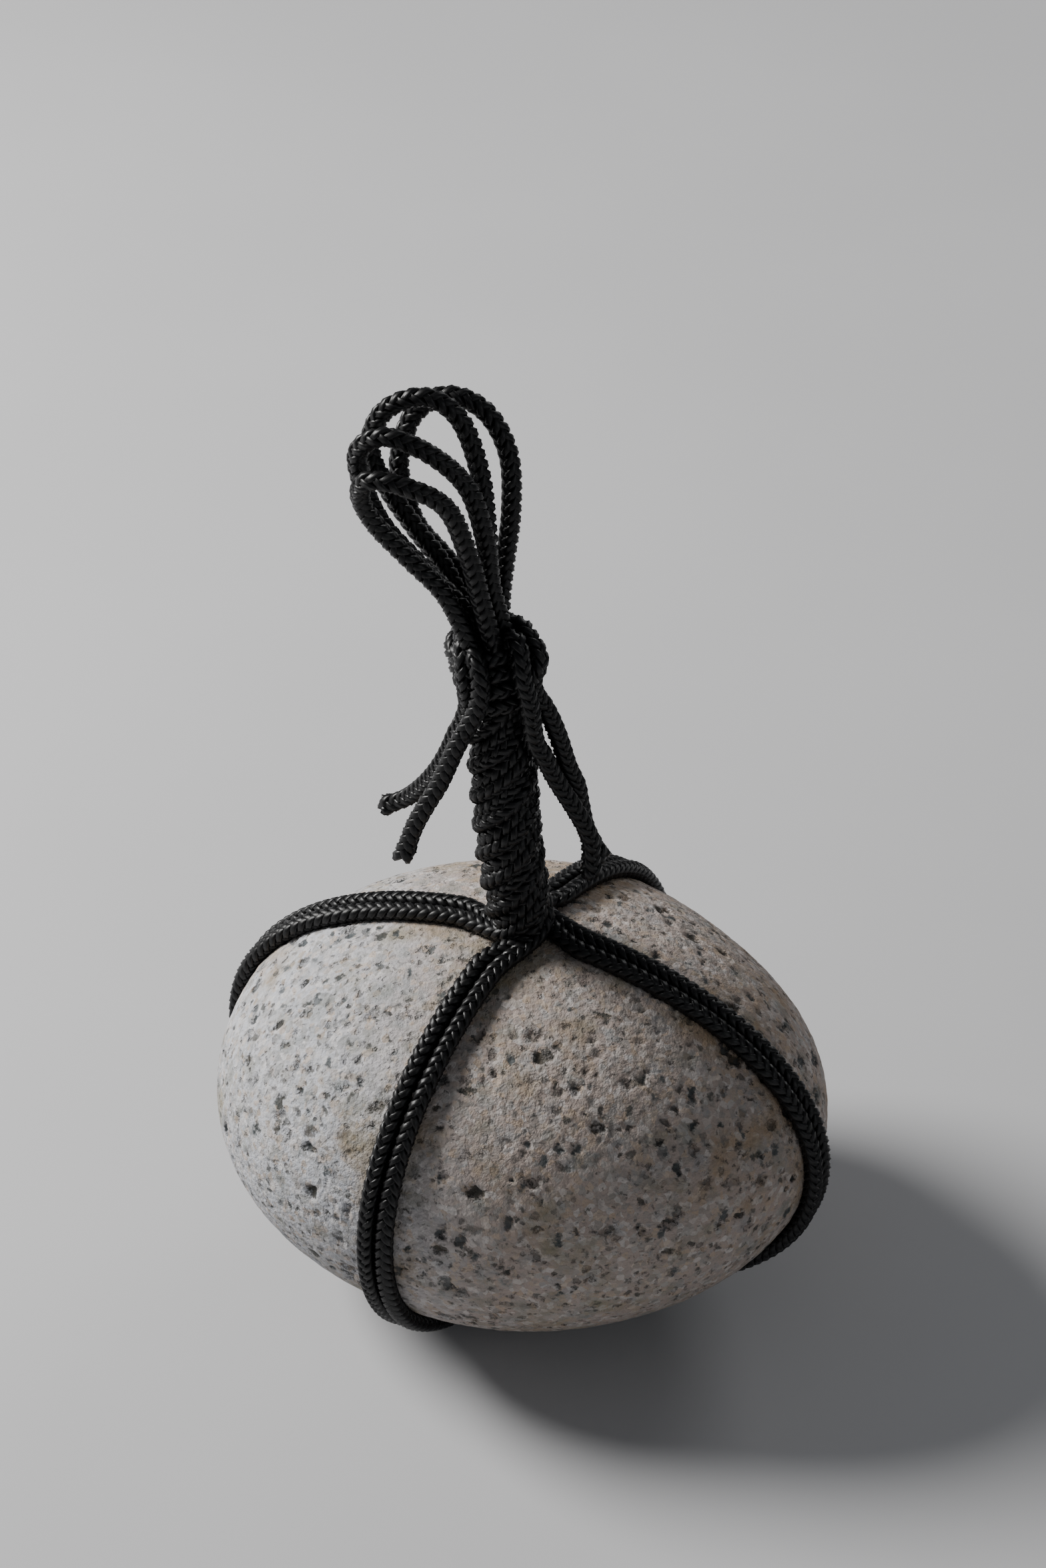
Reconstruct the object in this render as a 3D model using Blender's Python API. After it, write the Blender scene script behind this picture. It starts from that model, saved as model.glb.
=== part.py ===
"""Sekimori stone: a granite cobble bound crosswise with doubled black cord.

The cord's eight strands meet on the crown of the stone and are laid up as a twisted handle. A tie cord
is knotted round the top of the handle, with four cut tails, and the strands open above the knot into four
standing loops.

Frame, in metres: +Z is up, +X is to the right and +Y to the back. The origin is on the surface that the
stone stands on, where the lower girth cord is pressed flat in the middle of the crossing under the stone.
"""
import math

import bmesh
import bpy
import numpy as np
from mathutils import Matrix, Vector

# Stone
STONE_HALF_LENGTH = 0.0555
STONE_HALF_WIDTH = 0.0455
STONE_HALF_HEIGHT = 0.0380
STONE_YAW = math.radians(-11)
STONE_FULLNESS = 2.05
STONE_TAPER = 0.015
STONE_GRID = 16
STONE_COLOUR = (0.62, 0.59, 0.56)
STONE_ROUGHNESS = 0.85
# each swell: azimuth and height angle in degrees, rise in metres, spread in degrees
STONE_SWELLS = (
    (20, 28, -0.0013, 24),
    (62, 42, 0.0010, 26),
    (258, -30, 0.0008, 30),
    (200, 5, 0.0007, 28),
)

# Cord, and the clearance between neighbouring solids
CORD_DIAMETER = 0.0032
GAP = 0.0003
CORD_PITCH = CORD_DIAMETER + GAP
CORD_COLOUR = (0.018, 0.018, 0.020)
CORD_ROUGHNESS = 0.5

# Bed of the stone: the flat that the arms of the cord hold off the ground, and the dip over their crossing
CORD_PRESS = 0.00015
BED_HEIGHT = CORD_DIAMETER + GAP - CORD_PRESS
BED_DEPTH = 0.0030
BED_ROUNDING = 0.0008
# so many roundings above the bed, it no longer changes the surface
BED_REACH = 20
DIP_DEPTH = 0.00125
DIP_RADIUS = 0.009
SQUASHED_HALF_HEIGHT = 0.0010
SQUASH_FULL_TO = 0.0043
SQUASH_ENDS_AT = 0.0120

# Girth runs: azimuth of each pair, and how far from the handle's axis they end on the crown
SIDE_AZIMUTH = math.radians(-22.5)
CROSS_AZIMUTH = math.radians(58)
GIRTH_END_RADIUS = 0.0068
GIRTH_POINTS = 42
GIRTH_STEPS = 240
UNDERSIDE_BELOW = STONE_HALF_HEIGHT / 2

# Places and routes from here on are in millimetres from the middle of the cords' crossing under the stone.
# The routes of the tails and loops are chosen by hand.

# Handle
HANDLE_AXIS = ((0.0, 0, 76.95), (-1.0, 0, 84.5), (-2.5, 0, 97.0), (-3.5, 0, 114.0), (-3.85, 0, 127.7))
HANDLE_RADIUS = 0.0055
HANDLE_BAND_RISE = 0.0007
HANDLE_LEAD = 0.0254
HANDLE_START = math.radians(28)
HANDLE_BANDS = 4
HANDLE_SIDES_PER_BAND = 5
HANDLE_RING_SPACING = 0.0021
HANDLE_NECK_RADIUS = 0.0048
HANDLE_NECK_BAND_RISE = 0.0002
HANDLE_NECK_FROM = 0.1185
HANDLE_NECK_TO = 0.1235

# Knot
KNOT_CENTRE = (-5.0, 0, 134.4)
KNOT_LEAN = math.radians(-12)
KNOT_TURNS = 4
KNOT_TURN_RADIUS = 0.0056
KNOT_SEGMENTS = 24
# where the profile of a turn has its points: angles in degrees from straight out
KNOT_TURN_PROFILE = (75, 35, 0, -35, -75)
KNOB_CENTRE = (0.8, -3.8, 137.6)
KNOB_HALF_SIZE = (0.0030, 0.0050, 0.0052)
KNOB_SEGMENTS = 16
KNOB_RINGS = 10
KNOT_FALL = ((-8.9, -6.6, 139.0), (-8.3, -7.4, 135.5), (-8.5, -6.9, 129.0))
KNOT_FALL_RADIUS = 0.0024

# Tails and loops
TAIL_ROUTES = {
    "tail_left_1": ((-10.0, -4.5, 125.5), (-11.0, -4.0, 123.0), (-12.5, -2.6, 117.9), (-14.5, -0.6, 112.4),
                    (-17.1, 2.6, 106.5), (-20.1, 6.0, 101.3), (-23.8, 8.2, 98.0)),
    "tail_left_2": ((-9.6, -8.2, 126.3), (-11.2, -7.7, 122.5), (-12.7, -7.1, 118.0), (-14.3, -6.5, 113.5),
                    (-16.3, -6.1, 109.3), (-18.5, -5.4, 103.9), (-20.3, -4.6, 97.3)),
    "tail_right_1": ((3.4, -3.9, 128.6), (4.8, -3.2, 124.8), (6.1, -2.4, 120.1), (7.5, -1.6, 114.2),
                     (9.0, -0.8, 109.6), (9.6, -0.2, 105.6), (10.6, 0.2, 99.8), (12.1, 0.2, 95.9),
                     (13.3, 0.3, 92.8)),
    "tail_right_2": ((1.4, -7.3, 128.4), (1.6, -6.9, 125.9), (2.1, -6.3, 122.5), (3.3, -5.7, 119.7),
                     (5.2, -4.7, 114.2), (8.5, -3.9, 107.1), (10.5, -3.6, 102.6), (11.4, -3.5, 99.5),
                     (11.6, -3.5, 95.5), (11.7, -3.5, 92.4)),
}
LOOP_ROUTES = {
    "loop_1": ((-3.7, 4.8, 141.9), (-3.5, 4.6, 146), (-2.9, 4.2, 152), (-1.9, 3.8, 162), (-2.3, 5.2, 172),
               (-6.0, 6.6, 179.2), (-12.0, 7.2, 181.8), (-17.4, 6.7, 178.6), (-19.8, 5.7, 171.1),
               (-19.3, 5.5, 165.4), (-17.2, 5.4, 158.4), (-13.1, 5.5, 152.5), (-9.4, 5.4, 147),
               (-7.2, 4.95, 141.3)),
    "loop_2": ((-4.9, 1.5, 141.65), (-5.4, 1.2, 151), (-5.8, 1.2, 160), (-6.9, 1.6, 171), (-10.1, 1.7, 181),
               (-15.5, 1.7, 184.9), (-22.0, 2.0, 182), (-24.3, 2.3, 174.5), (-21.3, 1.9, 167),
               (-17.2, 1.8, 159.8), (-12.8, 1.85, 152.4), (-8.4, 1.65, 141.05)),
    "loop_3": ((-3.2, -1.6, 142.05), (-5.2, -2.5, 152), (-6.0, -3.2, 161), (-8.6, -5.0, 172),
               (-14.0, -6.6, 179.2), (-21.2, -6.6, 182.8), (-25.7, -4.3, 179), (-25.6, -2.9, 172.4),
               (-22.5, -2.0, 163.4), (-17.3, -1.9, 156.2), (-11.5, -1.85, 149), (-6.7, -1.6, 141.45)),
    "loop_4": ((-4.9, -4.8, 141.65), (-6.8, -5.9, 151), (-8.7, -7.5, 161), (-12.1, -10.2, 172),
               (-18.8, -12.0, 177.2), (-24.2, -10.9, 177.4), (-25.6, -7.7, 172.2), (-23.4, -5.9, 165.8),
               (-18.4, -5.5, 159.2), (-12.6, -5.65, 152), (-8.4, -5.0, 141.05)),
}
TAIL_POINT_SPACING = 0.0064
LOOP_POINT_SPACING = 0.0050
CURVE_STEPS = 24
SMOOTH_ANGLE = math.radians(50)

# points closer than this, in metres, are one point, and normals are measured over this step of direction
WELD_DISTANCE = 1e-6
NORMAL_STEP = 0.02

# The origin lies under one cord of the lower pair, half a pitch off the pair's mid-line
CORD_RADIUS = CORD_DIAMETER / 2
SIDE_ACROSS = Vector((-math.sin(SIDE_AZIMUTH), math.cos(SIDE_AZIMUTH), 0))
CROSSING = SIDE_ACROSS * (CORD_PITCH / 2)
STONE_CENTRE = CROSSING + Vector((0, 0, BED_HEIGHT - BED_DEPTH + STONE_HALF_HEIGHT))


def from_crossing(place):
    """A place given in millimetres from the crossing's middle, in the part's frame."""
    return CROSSING + Vector(place) / 1000


def clear_scene():
    for item in list(bpy.data.objects):
        bpy.data.objects.remove(item, do_unlink=True)


def material(name, colour, roughness):
    finish = bpy.data.materials.new(name)
    finish.use_nodes = True
    shader = finish.node_tree.nodes["Principled BSDF"]
    shader.inputs["Base Color"].default_value = (*colour, 1)
    shader.inputs["Roughness"].default_value = roughness
    finish.diffuse_color = (*colour, 1)
    return finish


def smooth_step(value, low, high):
    t = min(max((value - low) / (high - low), 0), 1)
    return t * t * (3 - 2 * t)


def bed_level(x, y):
    """Height of the stone's flat underside: level, with a shallow dip over the crossing of the cords."""
    away = math.hypot(x - CROSSING.x, y - CROSSING.y)
    return BED_HEIGHT + DIP_DEPTH * math.exp(-((away / DIP_RADIUS) ** 4))


def stone_surface(direction):
    """The point of the stone's surface in a direction from its middle."""
    turned = Matrix.Rotation(-STONE_YAW, 3, "Z") @ direction.normalized()
    fullness = sum(abs(part) ** STONE_FULLNESS for part in turned) ** (1 / STONE_FULLNESS)
    turned = turned / fullness
    narrowing = 1 - STONE_TAPER * turned.x
    point = Vector((STONE_HALF_LENGTH * turned.x, STONE_HALF_WIDTH * turned.y * narrowing,
                    STONE_HALF_HEIGHT * turned.z * narrowing))
    point = Matrix.Rotation(STONE_YAW, 3, "Z") @ point
    rise = 0
    for azimuth, height, swell, spread in STONE_SWELLS:
        middle = Vector((math.cos(math.radians(height)) * math.cos(math.radians(azimuth)),
                         math.cos(math.radians(height)) * math.sin(math.radians(azimuth)),
                         math.sin(math.radians(height))))
        rise += swell * math.exp(-((math.degrees(point.angle(middle)) / spread) ** 2))
    point = STONE_CENTRE + point + point.normalized() * rise
    level = bed_level(point.x, point.y)
    above = (point.z - level) / BED_ROUNDING
    if above < BED_REACH:
        point.z = level + BED_ROUNDING * math.log1p(math.exp(above))
    return point


def stone_normal(direction):
    """The outward normal of the stone's surface in a direction from its middle."""
    sideways = direction.orthogonal().normalized() * NORMAL_STEP
    other = direction.cross(sideways).normalized() * NORMAL_STEP
    along = stone_surface(direction + sideways) - stone_surface(direction - sideways)
    across = stone_surface(direction + other) - stone_surface(direction - other)
    return along.cross(across).normalized()


def smooth_route(points, spacing):
    """Evenly spaced points on a smooth curve through a route's points."""
    route = np.array([points[0]] + list(points) + [points[-1]], float)
    route[0] = 2 * route[1] - route[2]
    route[-1] = 2 * route[-2] - route[-3]
    fine = []
    for before, start, end, after in zip(route[:-3], route[1:-2], route[2:-1], route[3:]):
        for t in np.linspace(0, 1, CURVE_STEPS, endpoint=False):
            bend = (2 * before - 5 * start + 4 * end - after) * t ** 2
            bend = bend + (3 * start - before - 3 * end + after) * t ** 3
            fine.append(0.5 * (2 * start + (end - before) * t + bend))
    fine = np.array(fine + [route[-2]])
    lengths = np.concatenate([[0], np.cumsum(np.linalg.norm(np.diff(fine, axis=0), axis=1))])
    places = np.linspace(0, lengths[-1], round(lengths[-1] / spacing) + 1)
    return [Vector([np.interp(place, lengths, fine[:, axis]) for axis in range(3)]) for place in places]


def cord_curve(name, points, radius=CORD_RADIUS, sides_resolution=2):
    """A round cord with closed ends along the points, as a curve object."""
    data = bpy.data.curves.new(name, "CURVE")
    data.dimensions = "3D"
    data.bevel_depth = radius
    data.bevel_resolution = sides_resolution
    data.use_fill_caps = True
    data.twist_mode = "MINIMUM"
    spline = data.splines.new("POLY")
    spline.points.add(len(points) - 1)
    for point, place in zip(spline.points, points):
        point.co = (*place, 1)
    return bpy.data.objects.new(name, data)


def as_mesh(curve):
    """The curve object's surface as a closed mesh object in its place."""
    bpy.context.scene.collection.objects.link(curve)
    bpy.context.view_layer.update()
    evaluated = curve.evaluated_get(bpy.context.evaluated_depsgraph_get())
    mesh = bpy.data.meshes.new_from_object(evaluated)
    name = curve.name
    bpy.data.objects.remove(curve, do_unlink=True)
    shape = bmesh.new()
    shape.from_mesh(mesh)
    bmesh.ops.remove_doubles(shape, verts=shape.verts, dist=WELD_DISTANCE)
    bmesh.ops.recalc_face_normals(shape, faces=shape.faces)
    shape.to_mesh(mesh)
    shape.free()
    mesh.name = name
    return bpy.data.objects.new(name, mesh)


def place_in(collection, item, finish):
    collection.objects.link(item)
    item.data.materials.clear()
    item.data.materials.append(finish)
    if item.type == "MESH":
        item.data.shade_smooth()
        item.data.set_sharp_from_angle(angle=SMOOTH_ANGLE)


def make_stone():
    """The cobble: a cube's grid blown out to the stone's surface."""
    shape = bmesh.new()
    bmesh.ops.create_cube(shape, size=2)
    bmesh.ops.subdivide_edges(shape, edges=shape.edges, cuts=STONE_GRID - 1, use_grid_fill=True)
    for vertex in shape.verts:
        # even out the grid's angles, so that the faces near a cube's corner are as large as the others
        evened = Vector([math.tan(part * math.pi / 4) for part in vertex.co])
        vertex.co = stone_surface(evened)
    mesh = bpy.data.meshes.new("stone")
    shape.to_mesh(mesh)
    shape.free()
    return bpy.data.objects.new("stone", mesh)


def squash(away):
    """How much of its full squash a girth cord has at a distance from the crossing."""
    return 1 - smooth_step(away, SQUASH_FULL_TO, SQUASH_ENDS_AT)


def girth_route(azimuth, lane, lower):
    """Mid-line of one girth cord, from the crown down, under the stone and up to the crown again."""
    outward = Vector((math.cos(azimuth), math.sin(azimuth), 0))
    across = Vector((-math.sin(azimuth), math.cos(azimuth), 0))
    middle = []
    for index in range(GIRTH_STEPS + 1):
        turn = 2 * math.pi * index / GIRTH_STEPS
        direction = outward * math.sin(turn) + Vector((0, 0, math.cos(turn)))
        point = stone_surface(direction) + stone_normal(direction) * (CORD_RADIUS + GAP)
        from_crown = math.hypot(*(point - STONE_CENTRE).xy)
        if turn < math.pi / 4 or turn > 7 * math.pi / 4:
            if from_crown < GIRTH_END_RADIUS:
                continue
        elif point.z < STONE_CENTRE.z:
            squashed = squash(from_crown)
            half_height = CORD_RADIUS + (SQUASHED_HALF_HEIGHT - CORD_RADIUS) * squashed
            if lower:
                point.z += (half_height - CORD_PRESS - point.z) * squashed
            else:
                point.z += (CORD_RADIUS - half_height) * squashed
        middle.append(point + across * lane)
    lengths = [0]
    for start, end in zip(middle[:-1], middle[1:]):
        lengths.append(lengths[-1] + (end - start).length)
    places = np.linspace(0, lengths[-1], GIRTH_POINTS)
    table = np.array([tuple(point) for point in middle])
    return [Vector([np.interp(place, lengths, table[:, axis]) for axis in range(3)]) for place in places]


def make_girth_cord(name, azimuth, lane, lower):
    """One cord round the stone, pressed oval in the crossing and flat where it meets the ground."""
    route = girth_route(azimuth, lane, lower)
    outward = Vector((math.cos(azimuth), math.sin(azimuth), 0))
    cord = as_mesh(cord_curve(name, route))
    under = [point for point in route if point.z < UNDERSIDE_BELOW]
    under.sort(key=lambda point: point.dot(outward))
    along = [point.dot(outward) for point in under]
    height = [point.z for point in under]
    shape = bmesh.new()
    shape.from_mesh(cord.data)
    for vertex in shape.verts:
        away = abs((vertex.co - STONE_CENTRE).dot(outward))
        if vertex.co.z < UNDERSIDE_BELOW and away < SQUASH_ENDS_AT:
            middle = float(np.interp(vertex.co.dot(outward), along, height))
            flattening = 1 + (SQUASHED_HALF_HEIGHT / CORD_RADIUS - 1) * squash(away)
            vertex.co.z = middle + (vertex.co.z - middle) * flattening
    every = shape.verts[:] + shape.edges[:] + shape.faces[:]
    bmesh.ops.bisect_plane(shape, geom=every, dist=WELD_DISTANCE / 10, plane_co=(0, 0, 0),
                           plane_no=(0, 0, -1), clear_outer=True)
    rims = [edge for edge in shape.edges if edge.is_boundary]
    bmesh.ops.holes_fill(shape, edges=rims, sides=0)
    bmesh.ops.recalc_face_normals(shape, faces=shape.faces)
    shape.to_mesh(cord.data)
    shape.free()
    return cord


def make_handle():
    """The laid-up handle: a section with one swell for each doubled band, turned as it rises."""
    sides = HANDLE_BANDS * HANDLE_SIDES_PER_BAND
    middles = smooth_route([from_crossing(point) for point in HANDLE_AXIS], HANDLE_RING_SPACING)
    foot = middles[0].copy()
    top = middles[-1].copy()
    shape = bmesh.new()
    rings = []
    for middle in middles:
        turn = HANDLE_START + 2 * math.pi * (middle.z - foot.z) / HANDLE_LEAD
        necked = smooth_step(middle.z, HANDLE_NECK_FROM, HANDLE_NECK_TO)
        size = HANDLE_RADIUS + (HANDLE_NECK_RADIUS - HANDLE_RADIUS) * necked
        swell = HANDLE_BAND_RISE + (HANDLE_NECK_BAND_RISE - HANDLE_BAND_RISE) * necked
        # the top rings tip with the knot, so that the handle meets it all round
        tip = math.tan(-KNOT_LEAN) * smooth_step(middle.z, HANDLE_NECK_FROM, top.z)
        ring = []
        for side in range(sides):
            angle = 2 * math.pi * side / sides
            radius = size + swell * math.cos(HANDLE_BANDS * angle)
            across = radius * math.cos(angle + turn)
            offset = Vector((across, radius * math.sin(angle + turn), across * tip))
            ring.append(shape.verts.new(middle + offset))
        rings.append(ring)
    for lower, upper in zip(rings[:-1], rings[1:]):
        for side in range(sides):
            following = (side + 1) % sides
            shape.faces.new((lower[side], lower[following], upper[following], upper[side]))
    shape.faces.new(list(reversed(rings[0])))
    shape.faces.new(rings[-1])
    mesh = bpy.data.meshes.new("handle")
    shape.to_mesh(mesh)
    shape.free()
    return bpy.data.objects.new("handle", mesh)


def knot_barrel():
    """The stacked turns of the tie cord, as a turned solid."""
    half_height = KNOT_TURNS * CORD_RADIUS
    profile = [(0, half_height)]
    for turn in range(KNOT_TURNS):
        middle = half_height - CORD_RADIUS * (2 * turn + 1)
        for angle in KNOT_TURN_PROFILE:
            profile.append((KNOT_TURN_RADIUS + CORD_RADIUS * math.cos(math.radians(angle)),
                            middle + CORD_RADIUS * math.sin(math.radians(angle))))
    profile.append((0, -half_height))
    shape = bmesh.new()
    corners = [shape.verts.new((radius, 0, height)) for radius, height in profile]
    edges = [shape.edges.new(pair) for pair in zip(corners[:-1], corners[1:])]
    bmesh.ops.spin(shape, geom=corners + edges, cent=(0, 0, 0), axis=(0, 0, 1), angle=2 * math.pi,
                   steps=KNOT_SEGMENTS, use_merge=True)
    bmesh.ops.remove_doubles(shape, verts=shape.verts, dist=WELD_DISTANCE)
    bmesh.ops.recalc_face_normals(shape, faces=shape.faces)
    shape.transform(Matrix.Translation(from_crossing(KNOT_CENTRE)) @ Matrix.Rotation(KNOT_LEAN, 4, "Y"))
    mesh = bpy.data.meshes.new("knot")
    shape.to_mesh(mesh)
    shape.free()
    return bpy.data.objects.new("knot", mesh)


def make_knot(cutters):
    """The tie cord's knot: its turns, the crossing that stands out at the right and the fall at the left."""
    knot = knot_barrel()
    shape = bmesh.new()
    bmesh.ops.create_uvsphere(shape, u_segments=KNOB_SEGMENTS, v_segments=KNOB_RINGS, radius=1)
    size = Matrix.Diagonal((*KNOB_HALF_SIZE, 1))
    lean = Matrix.Rotation(KNOT_LEAN, 4, "Y")
    shape.transform(Matrix.Translation(from_crossing(KNOB_CENTRE)) @ lean @ size)
    mesh = bpy.data.meshes.new("knot_crossing")
    shape.to_mesh(mesh)
    shape.free()
    crossing = bpy.data.objects.new("knot_crossing", mesh)
    fall_route = smooth_route([from_crossing(point) for point in KNOT_FALL], KNOT_FALL_RADIUS)
    fall = as_mesh(cord_curve("knot_fall", fall_route, KNOT_FALL_RADIUS))
    for addition in (crossing, fall):
        cutters.objects.link(addition)
        addition.hide_render = True
        addition.display_type = "WIRE"
        union = knot.modifiers.new(addition.name, "BOOLEAN")
        union.operation = "UNION"
        union.solver = "EXACT"
        union.object = addition
    return knot


def build():
    clear_scene()
    collection = bpy.data.collections.new("sekimori_stone")
    cutters = bpy.data.collections.new("sekimori_stone_guides")
    bpy.context.scene.collection.children.link(collection)
    bpy.context.scene.collection.children.link(cutters)
    granite = material("granite", STONE_COLOUR, STONE_ROUGHNESS)
    cord = material("black_cord", CORD_COLOUR, CORD_ROUGHNESS)

    place_in(collection, make_stone(), granite)
    for number, lane in enumerate((-CORD_PITCH / 2, CORD_PITCH / 2), 1):
        side = make_girth_cord(f"girth_cord_side_{number}", SIDE_AZIMUTH, lane, True)
        place_in(collection, side, cord)
        cross = make_girth_cord(f"girth_cord_cross_{number}", CROSS_AZIMUTH, lane, False)
        place_in(collection, cross, cord)
    place_in(collection, make_handle(), cord)
    place_in(collection, make_knot(cutters), cord)
    for routes, spacing in ((TAIL_ROUTES, TAIL_POINT_SPACING), (LOOP_ROUTES, LOOP_POINT_SPACING)):
        for name, route in routes.items():
            places = [from_crossing(point) for point in route]
            place_in(collection, cord_curve(name, smooth_route(places, spacing)), cord)


build()
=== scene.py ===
# Sekimori stone: its looks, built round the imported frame
import math

import bpy
import numpy as np
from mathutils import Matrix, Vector
from mathutils.bvhtree import BVHTree


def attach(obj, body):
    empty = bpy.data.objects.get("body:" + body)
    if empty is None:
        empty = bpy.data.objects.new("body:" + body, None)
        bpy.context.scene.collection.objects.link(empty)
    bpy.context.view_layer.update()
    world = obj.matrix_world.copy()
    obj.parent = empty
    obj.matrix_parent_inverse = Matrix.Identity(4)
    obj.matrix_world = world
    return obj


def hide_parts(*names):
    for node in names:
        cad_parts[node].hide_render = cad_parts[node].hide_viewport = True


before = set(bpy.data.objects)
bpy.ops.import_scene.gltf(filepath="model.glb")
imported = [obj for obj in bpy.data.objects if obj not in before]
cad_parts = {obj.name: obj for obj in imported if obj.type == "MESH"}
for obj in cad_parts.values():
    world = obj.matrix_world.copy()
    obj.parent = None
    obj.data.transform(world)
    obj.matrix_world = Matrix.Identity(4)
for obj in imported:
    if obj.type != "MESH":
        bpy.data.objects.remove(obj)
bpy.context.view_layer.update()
print("frame loaded:", len(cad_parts), "nodes")

mm = 0.001

# what all the cords share
cordMake = {
    "diameter": 3.2 * mm,
    "outerRadius": 1.76 * mm,     # over the highest yarns
    "neighbourGap": 0.3 * mm,
    "lanePitch": 3.28 * mm,       # the two cords of a pair touch
    "yarns": 8,
    "lead": 8.0 * mm,             # a yarn goes once round the cord in this length
    "ringSpacing": 0.5 * mm,
    "yarnHalfWidth": 0.73 * mm,
    "yarnHalfThickness": 0.50 * mm,
    "weaveDepth": 0.32 * mm,      # how far a yarn rises over the others and dips under them
    # a yarn of two ends side by side: its section across and outwards, in half widths and thicknesses
    "yarnSection": ((-1, -0.2), (-0.55, 0.95), (0, 0.75), (0.55, 0.95), (1, -0.2), (0, -1)),
    "mapUnit": 10 * mm,           # the yarns' own map counts centimetres along a yarn
    "mapLap": 0.3,                # how wide a yarn is in its row of the map
}
cordRadius = cordMake["diameter"] / 2
cordPitch = cordMake["diameter"] + cordMake["neighbourGap"]

# the four girth runs, and the place under the stone where they cross
girth = {
    "sideAzimuth": math.radians(-22.5),
    "crossAzimuth": math.radians(58),
    "press": 0.1 * mm,            # how far the cord beds into the stone's grain
    "leavesStoneAt": 11.5 * mm,   # from the crown's middle
    "squashedHalfHeight": 1.0 * mm,
    "squashFullTo": 4.3 * mm,
    "squashEndsAt": 12.0 * mm,
    "groundPress": 0.15 * mm,
    "castSteps": 360,
}
crossing = Vector((-math.sin(girth["sideAzimuth"]), math.cos(girth["sideAzimuth"]), 0)) * (cordPitch / 2)


def fromCrossing(places):
    # places in millimetres from the crossing's middle, as points in metres
    return np.array(places, float) * mm + np.array(crossing)


def clearSelection():
    if bpy.context.object and bpy.context.object.mode != "OBJECT":
        bpy.ops.object.mode_set(mode="OBJECT")
    bpy.ops.object.select_all(action="DESELECT")


def selectOnly(piece):
    clearSelection()
    piece.select_set(True)
    bpy.context.view_layer.objects.active = piece


def smoothStep(value, low, high):
    t = np.clip((np.asarray(value, float) - low) / (high - low), 0, 1)
    return t * t * (3 - 2 * t)


# nodes, for materials and for the stone's relief alike

def addNode(tree, kind, inputs, **settings):
    item = tree.nodes.new(kind)
    for name, value in settings.items():
        setattr(item, name, value)
    for key, value in inputs.items():
        if isinstance(value, bpy.types.NodeSocket):
            tree.links.new(value, item.inputs[key])
        else:
            item.inputs[key].default_value = value
    return item


def mathNode(tree, operation, first, second=0.0):
    return addNode(tree, "ShaderNodeMath", {0: first, 1: second}, operation=operation).outputs[0]


def vectorNode(tree, operation, first, second):
    key = "Scale" if operation == "SCALE" else 1
    return addNode(tree, "ShaderNodeVectorMath", {0: first, key: second}, operation=operation).outputs[0]


def noiseNode(tree, place, scale, detail, roughness=0.5):
    inputs = {"Vector": place, "Scale": scale, "Detail": detail, "Roughness": roughness}
    return addNode(tree, "ShaderNodeTexNoise", inputs).outputs


def ramp(tree, value, low, high, lowResult=0.0, highResult=1.0):
    # eases from one result to the other as the value goes from low to high
    inputs = {"Value": value, "From Min": low, "From Max": high, "To Min": lowResult, "To Max": highResult}
    return addNode(tree, "ShaderNodeMapRange", inputs, interpolation_type="SMOOTHSTEP").outputs["Result"]


def blendColour(tree, factor, first, second):
    inputs = {0: factor, 6: first, 7: second}
    return addNode(tree, "ShaderNodeMix", inputs, data_type="RGBA").outputs[2]


def layColour(tree, ground, field, share, colour):
    # lays a colour over the ground, with its greatest share where the field is 1
    return blendColour(tree, mathNode(tree, "MULTIPLY", field, share), ground, colour)


def sink(tree, height, field, depth):
    # lowers a height by a depth where the field is 1
    return mathNode(tree, "SUBTRACT", height, mathNode(tree, "MULTIPLY", field, depth))


def newMaterial(name):
    finish = bpy.data.materials.new(name)
    finish.use_nodes = True
    return finish, finish.node_tree, finish.node_tree.nodes["Principled BSDF"]


# camera, floor and lights

view = {
    "aimHeight": 109.0 * mm,
    "distance": 0.628,
    "elevation": math.radians(38),
    "lens": 85,
    "filmWidth": 36,
    "nearestSeen": 0.01,
}


def makeCamera():
    data = bpy.data.cameras.new("camera")
    data.lens = view["lens"]
    data.sensor_fit = "AUTO"
    data.sensor_width = view["filmWidth"]
    data.clip_start = view["nearestSeen"]
    camera = bpy.data.objects.new("camera", data)
    bpy.context.scene.collection.objects.link(camera)
    aim = crossing + Vector((0, 0, view["aimHeight"]))
    back = Vector((0, -math.cos(view["elevation"]), math.sin(view["elevation"])))
    camera.location = aim + back * view["distance"]
    camera.rotation_euler = (-back).to_track_quat("-Z", "Y").to_euler()
    bpy.context.scene.camera = camera


studio = {
    "floorSize": 6.0,
    "floorColour": (0.50, 0.50, 0.51, 1),
    "floorPaler": 1.04,
    "floorNoise": (6.0, 4.0),     # features a metre, and detail
    "floorClouds": (0.35, 0.65),
    "floorRoughness": 0.8,
    "worldColour": (0.80, 0.84, 0.90, 1),
    "worldStrength": 0.125,
    "aimHeight": 70 * mm,
    # name, place, size, power and colour of each soft light, all aimed at the middle of the object
    "lights": (
        ("key", (-0.74, 0.26, 0.66), 0.42, 18.5, (1.0, 0.99, 0.97)),
        ("fill", (0.75, -0.75, 0.55), 0.80, 1.2, (0.95, 0.97, 1.0)),
        ("rim", (0.45, 0.70, 0.50), 0.45, 1.5, (1.0, 1.0, 1.0)),
    ),
}


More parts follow.
